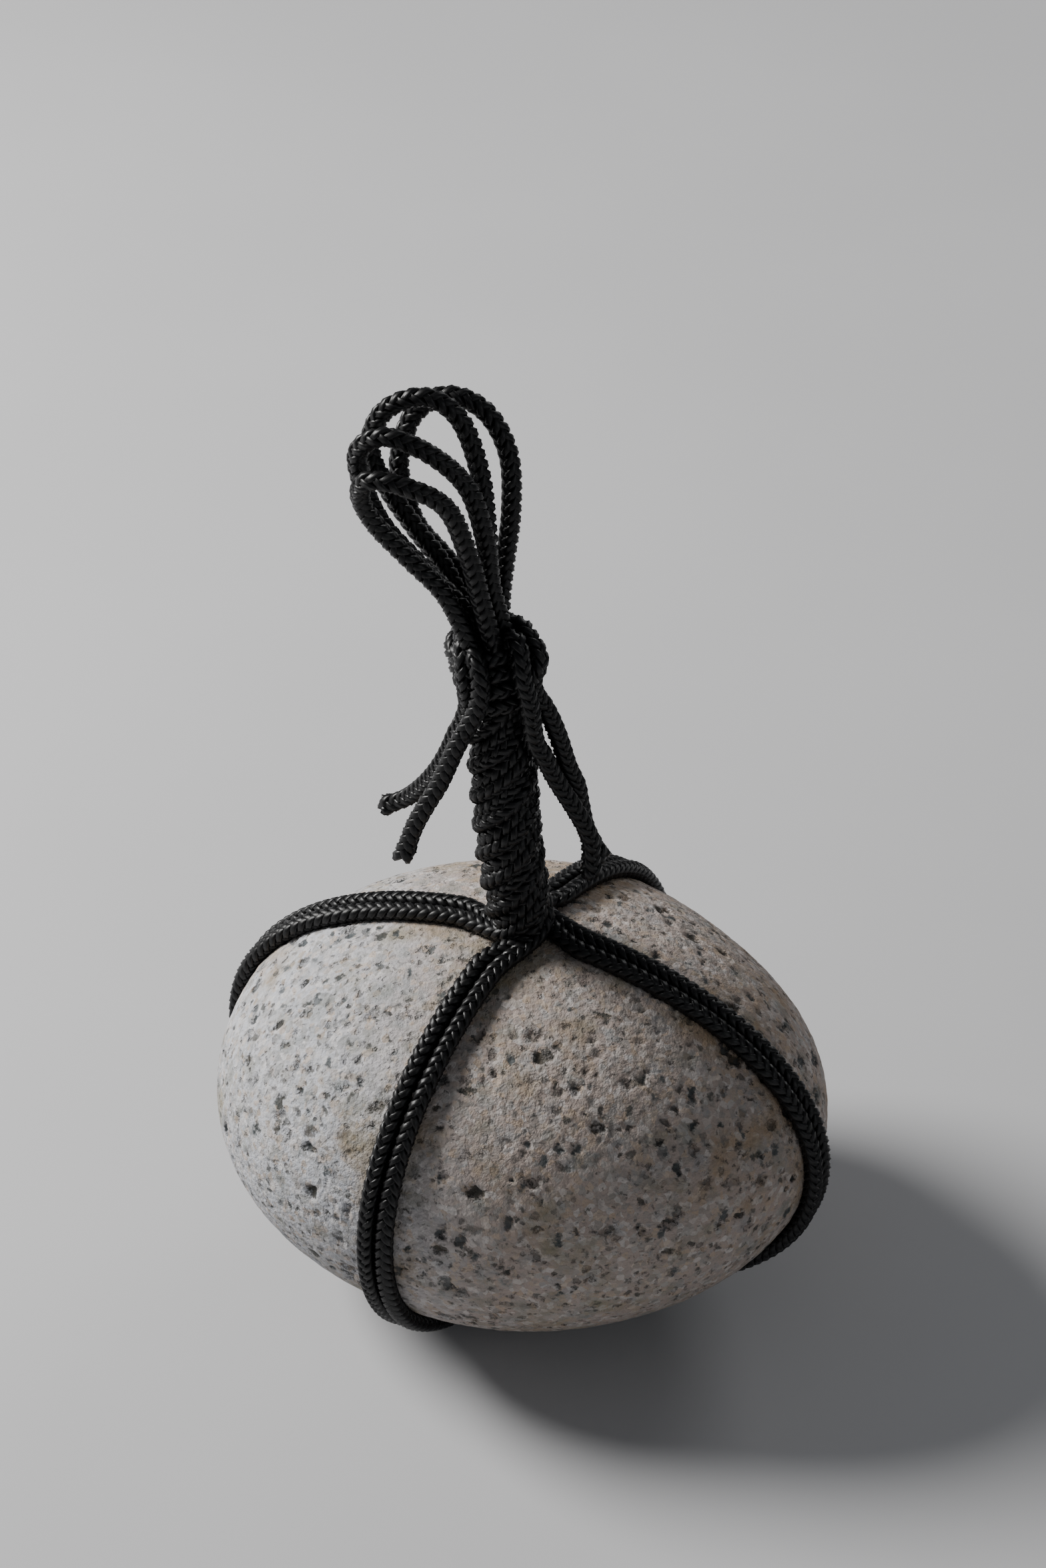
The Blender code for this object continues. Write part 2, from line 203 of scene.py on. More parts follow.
def makeStudio():
    clearSelection()
    bpy.ops.mesh.primitive_plane_add(size=studio["floorSize"], location=(0, 0, 0))
    floor = bpy.context.object
    floor.name = "floor"
    finish, tree, shader = newMaterial("pale floor")
    place = tree.nodes.new("ShaderNodeTexCoord").outputs["Object"]
    clouds = ramp(tree, noiseNode(tree, place, *studio["floorNoise"])["Fac"], *studio["floorClouds"])
    paler = tuple(min(part * studio["floorPaler"], 1) for part in studio["floorColour"])
    tree.links.new(blendColour(tree, clouds, studio["floorColour"], paler), shader.inputs["Base Color"])
    shader.inputs["Roughness"].default_value = studio["floorRoughness"]
    floor.data.materials.append(finish)
    for name, place, size, power, colour in studio["lights"]:
        data = bpy.data.lights.new(name, "AREA")
        data.shape = "DISK"
        data.size = size
        data.energy = power
        data.color = colour
        lamp = bpy.data.objects.new(name, data)
        bpy.context.scene.collection.objects.link(lamp)
        lamp.location = place
        aim = Vector(place) - Vector((0, 0, studio["aimHeight"]))
        lamp.rotation_euler = (-aim).to_track_quat("-Z", "Y").to_euler()
    world = bpy.data.worlds.new("soft room")
    world.use_nodes = True
    sky = world.node_tree.nodes["Background"]
    sky.inputs["Color"].default_value = studio["worldColour"]
    sky.inputs["Strength"].default_value = studio["worldStrength"]
    bpy.context.scene.world = world


# granite: where its grains, pits and stains lie. The relief and the colours read the same fields.

granite = {
    # noises: features a metre, detail and roughness
    "crookedNoise": (520, 5.0, 0.62),
    "frayNoise": (1700, 3.0, 0.6),
    "unevenNoise": (420, 3.0, 0.6),
    "driftNoise": (26, 2.0, 0.5),
    "flourNoise": (1300, 3.0, 0.6),
    "stainNoise": (62, 5.0, 0.65),
    "gritNoise": (1250, 3.0, 0.6),
    "crookedBy": 3.4 * mm,        # how far the grains' outlines are bent
    "mildly": 0.28,               # the ground's own grains are bent by this share of it
    "frayBy": 0.42,               # in cells
    # kinds of grain: cells a metre, stretch of the cells, shift, smallest and largest radius, edge
    "grains": {
        "first": (275, (0.65, 1.10, 1.05), 0.013, -0.08, 0.33, 0.10),
        "second": (320, (1.10, 1.00, 0.65), 0.041, -0.10, 0.35, 0.11),
        "fine": (560, (1.0, 1.0, 1.0), 0.031, -0.04, 0.40, 0.12),
        "crumb": (960, (1.0, 1.0, 1.0), 0.069, -0.14, 0.42, 0.12),
        "haze": (215, (0.80, 1.0, 1.10), 0.023, -0.10, 0.48, 0.16),
        "quartz": (270, (1.0, 1.0, 1.0), 0.057, -0.10, 0.52, 0.10),
    },
    # how dark a grain is, and how far it has weathered out, by chance: from, to, least and most
    "darkness": {
        "first": (0.0, 0.6, 0.45, 1.0),
        "second": (0.0, 0.7, 0.35, 1.0),
        "fine": (0.0, 1.0, 0.25, 1.0),
        "crumb": (0.3, 1.0, 0.10, 1.0),
    },
    "weathering": {
        "first": (0.25, 0.75, 0.15, 1.0),
        "second": (0.25, 0.75, 0.0, 0.9),
        "fine": (0.3, 0.7, 0.0, 1.0),
    },
    # relief of the mesh
    "unevenness": 0.22 * mm,
    "pits": {"pit": 0.75 * mm, "finePit": 0.34 * mm},
    # finer relief of the finish, in millimetres
    "grit": 0.40,
    "chipScale": 820,
    "chip": 0.12,
    "hollows": {"crumb": 0.16, "pit": 0.35, "finePit": 0.28},
    "roughness": (0.0, 1.0, 0.88, 0.62),    # falls as the share of quartz goes from 0 to 1
    "specular": 0.3,
}

graniteColours = {
    # rows of two or four plain numbers say from where to where, and from what to what, a share eases
    # the ground is pale and cool at the left and darker and warmer at the right, with a slow drift between
    # the two: partly the stone's own tint, partly painted shade on the side turned from the key light
    "warmthAndShade": (-36 * mm, 6 * mm),
    "warmShadeDrift": 0.8,
    "coolToWarmShade": (0.25, 1.25),
    "cool": (0.485, 0.495, 0.527, 1),
    "warmAndShaded": (0.368, 0.303, 0.270, 1),
    # its pale, grey and ochre grains: where their chance starts, share and colour
    "feldsparScale": 900,
    "feldspar": (
        (0.50, 0.55, (0.63, 0.60, 0.58, 1)),
        (0.50, 0.55, (0.24, 0.235, 0.22, 1)),
        (0.70, 0.50, (0.46, 0.34, 0.235, 1)),
    ),
    "flourShare": (0.50, 0.72, 0.0, 0.55),
    "flour": (0.25, 0.24, 0.23, 1),
    # grey-blue quartz, and dull patches from grains just under the surface
    "quartzShare": 0.38,
    "quartz": ((0.22, 0.245, 0.265, 1), (0.33, 0.315, 0.315, 1)),
    "hazeShare": 0.42,
    "haze": ((0.165, 0.19, 0.185, 1), (0.20, 0.185, 0.14, 1)),
    # ochre and olive stains, more of them beside the cords and at the right
    "besideCord": (2.0 * mm, 11.0 * mm, 1.0, 0.0),
    "stainBesideCords": 0.07,
    "stainAtRight": (-25 * mm, 20 * mm, -0.01, 0.035),
    "stainShare": (0.51, 0.72, 0.0, 0.66),
    "ochreToOlive": (0.4, 0.6),
    "stains": ((0.29, 0.195, 0.105, 1), (0.20, 0.185, 0.11, 1)),
    # dark mica and hornblende, the smallest grains first, and the largest greenish to brown-black
    "dark": {
        "crumb": (0.62, (0.11, 0.10, 0.09, 1)),
        "fine": (0.85, (0.055, 0.056, 0.050, 1)),
        "second": (0.88, (0.050, 0.062, 0.066, 1)),
    },
    "darkestShare": 0.92,
    "darkest": ((0.026, 0.034, 0.033, 1), (0.060, 0.050, 0.036, 1)),
    # the stone is darker towards its foot
    "darkerTowardsFoot": (8 * mm, 44 * mm, 0.36, 0.0),
    "footDarkDrift": 14 * mm,
    "foot": (0.11, 0.09, 0.078, 1),
}


def grainFields(tree, place):
    crooked = noiseNode(tree, place, *granite["crookedNoise"])["Color"]
    centred = vectorNode(tree, "SUBTRACT", crooked, (0.5, 0.5, 0.5))
    offset = vectorNode(tree, "SCALE", centred, granite["crookedBy"])
    bent = vectorNode(tree, "ADD", place, offset)
    mild = vectorNode(tree, "ADD", place, vectorNode(tree, "SCALE", offset, granite["mildly"]))
    fray = mathNode(tree, "SUBTRACT", noiseNode(tree, place, *granite["frayNoise"])["Fac"], 0.5)
    fray = mathNode(tree, "MULTIPLY", fray, granite["frayBy"])
    grain = {}
    chance = {}
    for kind, (scale, stretch, shift, smallest, largest, edge) in granite["grains"].items():
        # grains round the cells' points, each with its own radius and three chance numbers
        moved = vectorNode(tree, "MULTIPLY", vectorNode(tree, "ADD", bent, (shift, shift, shift)), stretch)
        cell = addNode(tree, "ShaderNodeTexVoronoi", {"Vector": moved, "Scale": scale})
        chance[kind] = addNode(tree, "ShaderNodeSeparateXYZ", {0: cell.outputs["Color"]}).outputs
        inputs = {"Value": chance[kind][0], "To Min": smallest, "To Max": largest}
        radius = addNode(tree, "ShaderNodeMapRange", inputs).outputs["Result"]
        inside = mathNode(tree, "SUBTRACT", mathNode(tree, "ADD", radius, fray), cell.outputs["Distance"])
        grain[kind] = ramp(tree, inside, -edge, edge)

    def byChance(spreads, number):
        # each kind of grain, stronger in some of its grains than in others
        return {kind: mathNode(tree, "MULTIPLY", grain[kind], ramp(tree, chance[kind][number], *spread))
                for kind, spread in spreads.items()}

    pits = byChance(granite["weathering"], 1)
    return {
        **byChance(granite["darkness"], 2),
        "mild": mild,
        "tint": chance["second"][1],
        "haze": grain["haze"],
        "hazeChance": chance["haze"],
        "quartz": grain["quartz"],
        "quartzChance": chance["quartz"],
        "pit": mathNode(tree, "MAXIMUM", pits["first"], pits["second"]),
        "finePit": pits["fine"],
    }


def besideCords(tree, place):
    # 1 beside a girth cord, fading out away from it
    near = 0.0
    fromMiddle = vectorNode(tree, "SUBTRACT", place, tuple(crossing))
    for azimuth in (girth["sideAzimuth"], girth["crossAzimuth"]):
        inputs = {0: fromMiddle, 1: (-math.sin(azimuth), math.cos(azimuth), 0)}
        off = addNode(tree, "ShaderNodeVectorMath", inputs, operation="DOT_PRODUCT").outputs["Value"]
        share = ramp(tree, mathNode(tree, "ABSOLUTE", off), *graniteColours["besideCord"])
        near = mathNode(tree, "MAXIMUM", share, near)
    return near


def makeGraniteFinish():
    finish, tree, shader = newMaterial("granite")
    place = tree.nodes.new("ShaderNodeTexCoord").outputs["Object"]
    sides = addNode(tree, "ShaderNodeSeparateXYZ", {0: place}).outputs
    fields = grainFields(tree, place)
    look = graniteColours
    drift = noiseNode(tree, place, *granite["driftNoise"])["Fac"]
    # painted shade: the ground grows darker and warmer towards the right, away from the key light; the
    # warmer tint is partly the stone's own
    warmthAndShade = mathNode(tree, "ADD", ramp(tree, sides[0], *look["warmthAndShade"]),
                      mathNode(tree, "MULTIPLY", drift, look["warmShadeDrift"]))
    ground = blendColour(tree, ramp(tree, warmthAndShade, *look["coolToWarmShade"]), look["cool"], look["warmAndShaded"])
    inputs = {"Vector": fields["mild"], "Scale": look["feldsparScale"]}
    feldspar = addNode(tree, "ShaderNodeTexVoronoi", inputs).outputs["Color"]
    tones = addNode(tree, "ShaderNodeSeparateXYZ", {0: feldspar}).outputs
    for tone, (start, share, colour) in zip(tones, look["feldspar"]):
        ground = blendColour(tree, ramp(tree, tone, start, 1.0, 0.0, share), ground, colour)
    flour = ramp(tree, noiseNode(tree, place, *granite["flourNoise"])["Fac"], *look["flourShare"])
    ground = blendColour(tree, flour, ground, look["flour"])
    for kind in ("quartz", "haze"):
        tone = blendColour(tree, fields[kind + "Chance"][1], *look[kind])
        ground = layColour(tree, ground, fields[kind], look[kind + "Share"], tone)
    # stains
    beside = mathNode(tree, "MULTIPLY", besideCords(tree, place), look["stainBesideCords"])
    stain = mathNode(tree, "ADD", noiseNode(tree, place, *granite["stainNoise"])["Fac"], beside)
    stain = mathNode(tree, "ADD", stain, ramp(tree, sides[0], *look["stainAtRight"]))
    tone = blendColour(tree, ramp(tree, drift, *look["ochreToOlive"]), *look["stains"])
    ground = blendColour(tree, ramp(tree, stain, *look["stainShare"]), ground, tone)
    # dark grains
    for kind, (share, colour) in look["dark"].items():
        ground = layColour(tree, ground, fields[kind], share, colour)
    tone = blendColour(tree, fields["tint"], *look["darkest"])
    ground = layColour(tree, ground, fields["first"], look["darkestShare"], tone)
    # darker towards the foot, over a height that drifts a little
    foot = mathNode(tree, "ADD", sides[2], mathNode(tree, "MULTIPLY", drift, look["footDarkDrift"]))
    ground = blendColour(tree, ramp(tree, foot, *look["darkerTowardsFoot"]), ground, look["foot"])
    tree.links.new(ground, shader.inputs["Base Color"])
    tree.links.new(ramp(tree, fields["quartz"], *granite["roughness"]), shader.inputs["Roughness"])
    shader.inputs["Specular IOR Level"].default_value = granite["specular"]
    # fine relief
    grit = noiseNode(tree, place, *granite["gritNoise"])["Fac"]
    inputs = {"Vector": fields["mild"], "Scale": granite["chipScale"]}
    chips = addNode(tree, "ShaderNodeTexVoronoi", inputs).outputs["Distance"]
    height = sink(tree, mathNode(tree, "MULTIPLY", grit, granite["grit"]), chips, granite["chip"])
    for kind, depth in granite["hollows"].items():
        height = sink(tree, height, fields[kind], depth)
    bump = addNode(tree, "ShaderNodeBump", {"Height": height, "Distance": mm, "Strength": 1.0})
    tree.links.new(bump.outputs["Normal"], shader.inputs["Normal"])
    return finish


def makeReliefNodes():
    group = bpy.data.node_groups.new("weathered relief", "GeometryNodeTree")
    for way in ("INPUT", "OUTPUT"):
        group.interface.new_socket(name="Geometry", in_out=way, socket_type="NodeSocketGeometry")
    source = group.nodes.new("NodeGroupInput").outputs[0]
    place = group.nodes.new("GeometryNodeInputPosition").outputs[0]
    normal = group.nodes.new("GeometryNodeInputNormal").outputs[0]
    fields = grainFields(group, place)
    waves = mathNode(group, "SUBTRACT", noiseNode(group, place, *granite["unevenNoise"])[0], 0.5)
    rise = mathNode(group, "MULTIPLY", waves, 2 * granite["unevenness"])
    for kind, depth in granite["pits"].items():
        rise = sink(group, rise, fields[kind], depth)
    inputs = {"Geometry": source, "Offset": vectorNode(group, "SCALE", normal, rise)}
    moved = addNode(group, "GeometryNodeSetPosition", inputs).outputs[0]
    target = group.nodes.new("NodeGroupOutput")
    group.links.new(moved, target.inputs[0])
    return group


# the cobble

cobbleMake = {
    "weldWithin": 0.01 * mm,
    "subdivisions": 3,
    "middleHeight": 38.35 * mm,
}


def makeCobble():
    # a smooth, fine copy of the solid. The cords are laid on it as it is before its relief is raised
    cobble = bpy.data.objects.new("cobble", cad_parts["stone"].data.copy())
    bpy.context.scene.collection.objects.link(cobble)
    selectOnly(cobble)
    bpy.ops.object.mode_set(mode="EDIT")
    bpy.ops.mesh.select_all(action="SELECT")
    bpy.ops.mesh.remove_doubles(threshold=cobbleMake["weldWithin"])
    bpy.ops.mesh.tris_convert_to_quads(face_threshold=math.pi, shape_threshold=math.pi)
    bpy.ops.object.mode_set(mode="OBJECT")
    print("cobble cage:", len(cobble.data.vertices), "vertices,", len(cobble.data.polygons), "faces")
    finer = cobble.modifiers.new("finer", "SUBSURF")
    finer.levels = cobbleMake["subdivisions"]
    finer.render_levels = cobbleMake["subdivisions"]
    bpy.ops.object.modifier_apply(modifier=finer.name)
    smooth = BVHTree.FromPolygons([point.co.copy() for point in cobble.data.vertices],
                                  [tuple(face.vertices) for face in cobble.data.polygons])
    relief = cobble.modifiers.new("relief", "NODES")
    relief.node_group = makeReliefNodes()
    bpy.ops.object.modifier_apply(modifier=relief.name)
    bpy.ops.object.shade_smooth()
    cobble.data.materials.clear()
    cobble.data.materials.append(makeGraniteFinish())
    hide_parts("stone")
    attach(cobble, "root")
    print("cobble:", len(cobble.data.polygons), "faces")
    return smooth


# routes of the cords

def lengthsAlong(points):
    return np.concatenate([[0], np.cumsum(np.linalg.norm(np.diff(points, axis=0), axis=1))])


def evenPoints(points, spacing):
    lengths = lengthsAlong(points)
    places = np.linspace(0, lengths[-1], max(round(lengths[-1] / spacing), 2) + 1)
    return np.stack([np.interp(places, lengths, points[:, axis]) for axis in range(3)], axis=1)


def smoothRoute(points, spacing, steps=24):
    # evenly spaced points on a smooth curve through a route's points
    route = np.vstack([2 * points[0] - points[1], points, 2 * points[-1] - points[-2]])
    t = np.linspace(0, 1, steps, endpoint=False)[:, None]
    fine = []
    for before, start, end, after in zip(route[:-3], route[1:-2], route[2:-1], route[3:]):
        bend = (2 * before - 5 * start + 4 * end - after) * t ** 2
        bend = bend + (3 * start - before - 3 * end + after) * t ** 3
        fine.append(0.5 * (2 * start + (end - before) * t + bend))
    fine.append(points[-1:])
    return evenPoints(np.vstack(fine), spacing)


def carriedSides(route, facing):
    # one sideways direction, carried along the route without twist, and the one square to it
    tangents = np.gradient(route, axis=0)
    tangents /= np.linalg.norm(tangents, axis=1)[:, None]
    normals = np.empty_like(route)
    carried = np.array(facing, float)
    for index, tangent in enumerate(tangents):
        carried = carried - tangent * carried.dot(tangent)
        carried /= np.linalg.norm(carried)
        normals[index] = carried
    return normals, np.cross(tangents, normals)


# braided cord: four yarns wound one way and four the other, each over two and under two

def braidRings(route, facing, swelling=None):
    # the yarns' rings as an array of yarn, place along the cord, place round the yarn, and x, y, z
    normals, sideways = carriedSides(route, facing)
    along = lengthsAlong(route)
    swelling = np.ones(len(route)) if swelling is None else swelling
    middle = cordMake["outerRadius"] - cordMake["yarnHalfThickness"] - cordMake["weaveDepth"]
    section = cordMake["yarnSection"]
    rings = np.empty((cordMake["yarns"], len(route), len(section), 3))
    for yarn in range(cordMake["yarns"]):
        way = 1 if yarn % 2 == 0 else -1
        angle = way * 2 * np.pi * along / cordMake["lead"] + 2 * np.pi * yarn / cordMake["yarns"]
        radius = (middle + way * cordMake["weaveDepth"] * np.cos(2 * angle)) * swelling
        outward = normals * np.cos(angle)[:, None] + sideways * np.sin(angle)[:, None]
        path = route + outward * radius[:, None]
        forward = np.gradient(path, axis=0)
        forward /= np.linalg.norm(forward, axis=1)[:, None]
        outward -= forward * np.sum(outward * forward, axis=1)[:, None]
        outward /= np.linalg.norm(outward, axis=1)[:, None]
        across = np.cross(forward, outward)
        for corner, (wide, thick) in enumerate(section):
            aside = across * (wide * cordMake["yarnHalfWidth"] * swelling[:, None])
            rings[yarn, :, corner] = path + aside + outward * (thick * cordMake["yarnHalfThickness"])
    return rings, along


def pieceFromRings(name, strands, finish):
    # strands are pairs of yarn rings and lengths along the cord
    points, faces, layer = [], [], []
    count = 0
    yarnNumber = 0
    sides = len(cordMake["yarnSection"])
    for rings, along in strands:
        steps = rings.shape[1]
        ring = np.arange(sides)
        following = (ring + 1) % sides
        for yarnRings in rings:
            points.append(yarnRings.reshape(-1, 3))
            low = count + np.arange(steps - 1)[:, None] * sides
            high = low + sides
            quads = np.stack([low + ring, low + following, high + following, high + ring], axis=2)
            faces += quads.reshape(-1, 4).tolist()
            faces.append((count + ring[::-1]).tolist())
            faces.append((count + (steps - 1) * sides + ring).tolist())
            # the yarn's own map: along it, and round it in a row of its own
            length = along / cordMake["mapUnit"]
            lap = cordMake["mapLap"] * (ring + np.array([[0], [1], [1], [0]])) / sides + yarnNumber
            corners = [length[:-1], length[:-1], length[1:], length[1:]]
            quadMap = np.empty((steps - 1, sides, 4, 2))
            quadMap[..., 0] = np.stack(corners, axis=1)[:, None, :]
            quadMap[..., 1] = lap.T[None, :, :]
            layer.append(quadMap.reshape(-1, 2))
            for end in (length[0], length[-1]):
                layer.append(np.column_stack([np.full(sides, end), np.full(sides, float(yarnNumber))]))
            count += steps * sides
            yarnNumber += 1
    mesh = bpy.data.meshes.new(name)
    mesh.from_pydata(np.vstack(points).tolist(), [], faces)
    mesh.uv_layers.new(name="yarn").data.foreach_set("uv", np.vstack(layer).astype(np.float32).ravel())
    mesh.polygons.foreach_set("use_smooth", np.ones(len(mesh.polygons), bool))
    mesh.materials.append(finish)
    mesh.update()
    piece = bpy.data.objects.new(name, mesh)
    bpy.context.scene.collection.objects.link(piece)
    print(name + ":", len(faces), "faces")
    return piece


braidFinish = {
    "fibreStretch": (4.0, 70.0, 1.0),    # fibres to a centimetre along a yarn, and across it
    "fibreNoise": (1.0, 3.0),            # scale and detail
    "fibreTone": (0.35, 0.68),
    "black": (0.0022, 0.0022, 0.0026, 1),
    "lighter": (0.0065, 0.0063, 0.0068, 1),
    "wearNoise": (120, 3.0),             # features a metre, and detail
    "wearShare": (0.52, 0.75, 0.0, 0.5),
    "worn": (0.010, 0.0095, 0.0095, 1),
    "roughness": (0.3, 0.7, 0.32, 0.48),
    "specular": 0.35,
    "fibreHeight": 0.06 * mm,
    "fibreStrength": 0.5,
}


def makeCordFinish():
    finish, tree, shader = newMaterial("black braid")
    lay = addNode(tree, "ShaderNodeUVMap", {}, uv_map="yarn").outputs["UV"]
    inputs = {"Vector": lay, "Scale": braidFinish["fibreStretch"]}
    lay = addNode(tree, "ShaderNodeMapping", inputs).outputs[0]
    fibre = noiseNode(tree, lay, *braidFinish["fibreNoise"])["Fac"]
    tone = ramp(tree, fibre, *braidFinish["fibreTone"])
    colour = blendColour(tree, tone, braidFinish["black"], braidFinish["lighter"])
    place = tree.nodes.new("ShaderNodeTexCoord").outputs["Object"]
    wear = ramp(tree, noiseNode(tree, place, *braidFinish["wearNoise"])["Fac"], *braidFinish["wearShare"])
    tree.links.new(blendColour(tree, wear, colour, braidFinish["worn"]), shader.inputs["Base Color"])
    tree.links.new(ramp(tree, fibre, *braidFinish["roughness"]), shader.inputs["Roughness"])
    shader.inputs["Specular IOR Level"].default_value = braidFinish["specular"]
    inputs = {"Height": fibre, "Distance": braidFinish["fibreHeight"],
              "Strength": braidFinish["fibreStrength"]}
    bump = addNode(tree, "ShaderNodeBump", inputs)
    tree.links.new(bump.outputs["Normal"], shader.inputs["Normal"])
    return finish


# handle: eight cords laid up in four doubled bands, an outer and an inner cord in each

handleMake = {
    "axis": ((0.0, 0, 76.95), (-1.0, 0, 84.5), (-2.5, 0, 97.0), (-3.5, 0, 114.0), (-3.85, 0, 127.7),
             (-4.4, 0, 133.0)),
    "lead": 25.4 * mm,
    "startHeight": 76.95 * mm,
    "startTurn": math.radians(28),
    "outerRadius": 4.45 * mm,
    "innerRadius": 3.85 * mm,
    "innerTrails": math.radians(37),
    "neckFrom": 118.5 * mm,
    "neckTo": 128 * mm,
    "neckShare": 0.72,
    "joinHeight": 79.5 * mm,
    "topHeight": 132 * mm,
    "swing": 9 * mm,              # how strongly a cord keeps its way where it turns up into the handle
    "swingPoints": 24,
}


def handleStrand(band, outer):
    # the helix of one cord from the join up into the knot
    spacing = cordMake["ringSpacing"]
    heights = np.arange(handleMake["joinHeight"], handleMake["topHeight"], spacing)
    axis = smoothRoute(fromCrossing(handleMake["axis"]), spacing)
    turn = (handleMake["startTurn"] + band * math.pi / 2
            + 2 * np.pi * (heights - handleMake["startHeight"]) / handleMake["lead"])
    radius = handleMake["outerRadius"]
    if not outer:
        turn = turn - handleMake["innerTrails"]
        radius = handleMake["innerRadius"]
    necked = smoothStep(heights, handleMake["neckFrom"], handleMake["neckTo"])
    radius = radius * (1 + (handleMake["neckShare"] - 1) * necked)
    return np.stack([np.interp(heights, axis[:, 2], axis[:, 0]) + radius * np.cos(turn),
                     np.interp(heights, axis[:, 2], axis[:, 1]) + radius * np.sin(turn), heights], axis=1)


def swingIn(run, strand):
    # a smooth stretch from the end of a girth run into the start of its helix
    start, end = run[-1], strand[0]
    leaving = run[-1] - run[-3]
    leaving /= np.linalg.norm(leaving)
    joining = strand[1] - strand[0]
    joining /= np.linalg.norm(joining)
    t = np.linspace(0, 1, handleMake["swingPoints"])[1:-1, None]
    swing = handleMake["swing"]
    return ((2 * t ** 3 - 3 * t ** 2 + 1) * start + (t ** 3 - 2 * t ** 2 + t) * swing * leaving
            + (3 * t ** 2 - 2 * t ** 3) * end + (t ** 3 - t ** 2) * swing * joining)


def squashShare(away):
    # how much of its full squash a girth cord has at a distance from the crossing
    return 1 - smoothStep(away, girth["squashFullTo"], girth["squashEndsAt"])


def girthRun(stoneTree, azimuth, lane, lower):
    # one cord laid round the stone by casting from its middle: from the crown down, under it and up
    outward = Vector((math.cos(azimuth), math.sin(azimuth), 0))
    across = Vector((-math.sin(azimuth), math.cos(azimuth), 0))
    middle = crossing + Vector((0, 0, cobbleMake["middleHeight"])) + across * lane
    run = []
    for index in range(girth["castSteps"] + 1):
        turn = 2 * math.pi * index / girth["castSteps"]
        direction = outward * math.sin(turn) + Vector((0, 0, math.cos(turn)))
        point, normal = stoneTree.ray_cast(middle, direction)[:2]
        away = abs((point - middle).dot(outward))
        if point.z > middle.z and away < girth["leavesStoneAt"]:
            continue
        point = point + normal * (cordRadius - girth["press"])
        if point.z < middle.z:
            squashed = float(squashShare(away))
            halfHeight = cordRadius + (girth["squashedHalfHeight"] - cordRadius) * squashed
            if lower:
                point.z += (halfHeight - girth["groundPress"] - point.z) * squashed
            else:
                point.z += (cordRadius - halfHeight) * squashed
            point.z = max(point.z, halfHeight - girth["groundPress"])
        run.append(tuple(point))
    return np.array(run)


def flattenUnder(rings, route, outward):
    # presses the cord oval in the crossing, and flat where it meets the ground
    under = route[:, 2] < cobbleMake["middleHeight"] / 2
    away = np.abs((route - np.array(crossing)) @ np.array(outward))
    share = squashShare(away) * under
    flattening = 1 + (girth["squashedHalfHeight"] / cordRadius - 1) * share
    middles = route[:, 2][None, :, None]
    rings[..., 2] = np.maximum(middles + (rings[..., 2] - middles) * flattening[None, :, None], 0)


def makeBinding(name, stoneTree, azimuth, bands, lower, finish, nodes):
    # two cords side by side, each from the knot down the handle, round the stone and up the handle again
    outward = Vector((math.cos(azimuth), math.sin(azimuth), 0))
    strands = []
    for lane in (-cordMake["lanePitch"] / 2, cordMake["lanePitch"] / 2):
        run = girthRun(stoneTree, azimuth, lane, lower)
        # seen along its way in, the cord on the right of its pair goes to the outside of the handle
        first = handleStrand(bands[0], lane > 0)
        last = handleStrand(bands[1], lane < 0)
        down = np.vstack([swingIn(run[::-1], first)[::-1], run])
        whole = np.vstack([first[::-1], down, swingIn(run, last), last])
        route = evenPoints(whole, cordMake["ringSpacing"])
        rings, along = braidRings(route, outward)
        flattenUnder(rings, route, outward)
        strands.append((rings, along))
    piece = pieceFromRings(name, strands, finish)
    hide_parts(*nodes)
    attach(piece, "root")


# knot: two turns of the doubled tie cord, with its ends brought over the turns at the left and the right

knotMake = {
    "centre": (-5.0, 0, 134.4),
    "lean": math.radians(-12),
    "turnRadius": 5.6 * mm,
    "tuckedRadius": 3.2 * mm,
    "turnsStartAt": math.radians(-20),
    "stepsOver": math.radians(50),
    "turnPoints": 120,
    "tuckedFor": 0.06,            # in turns, at each end
    # the cords' ways over the turns: two at the left, two at the right, each down to its tail
    "leftOver": (
        ((-9.5, 1.5, 140.0), (-9.9, -1.8, 141.0), (-9.9, -4.4, 140.6), (-9.7, -6.2, 138.6),
         (-9.4, -6.8, 135.5), (-9.1, -6.2, 132.5), (-9.1, -5.2, 129.2)),
        ((-7.5, -2.0, 141.5), (-8.4, -4.6, 141.4), (-7.8, -7.0, 140.6), (-7.1, -8.4, 138.4),
         (-6.9, -8.9, 135.6), (-7.2, -8.8, 133.0), (-7.9, -8.6, 130.4)),
    ),
    "rightOver": (
        ((-2.4, 2.0, 140.0), (-1.0, 1.0, 141.5), (0.3, -0.8, 141.5), (1.3, -2.4, 140.6),
         (2.4, -3.8, 139.3), (2.5, -4.6, 137.4), (1.6, -4.9, 134.9), (1.9, -4.6, 131.9)),
        ((-3.2, -2.6, 140.6), (-2.0, -4.0, 142.3), (-0.9, -5.6, 142.3), (-0.5, -6.8, 140.6),
         (-0.3, -7.6, 138.7), (-0.1, -7.9, 136.7), (0.4, -7.8, 134.6), (1.0, -7.6, 131.6)),
    ),
}

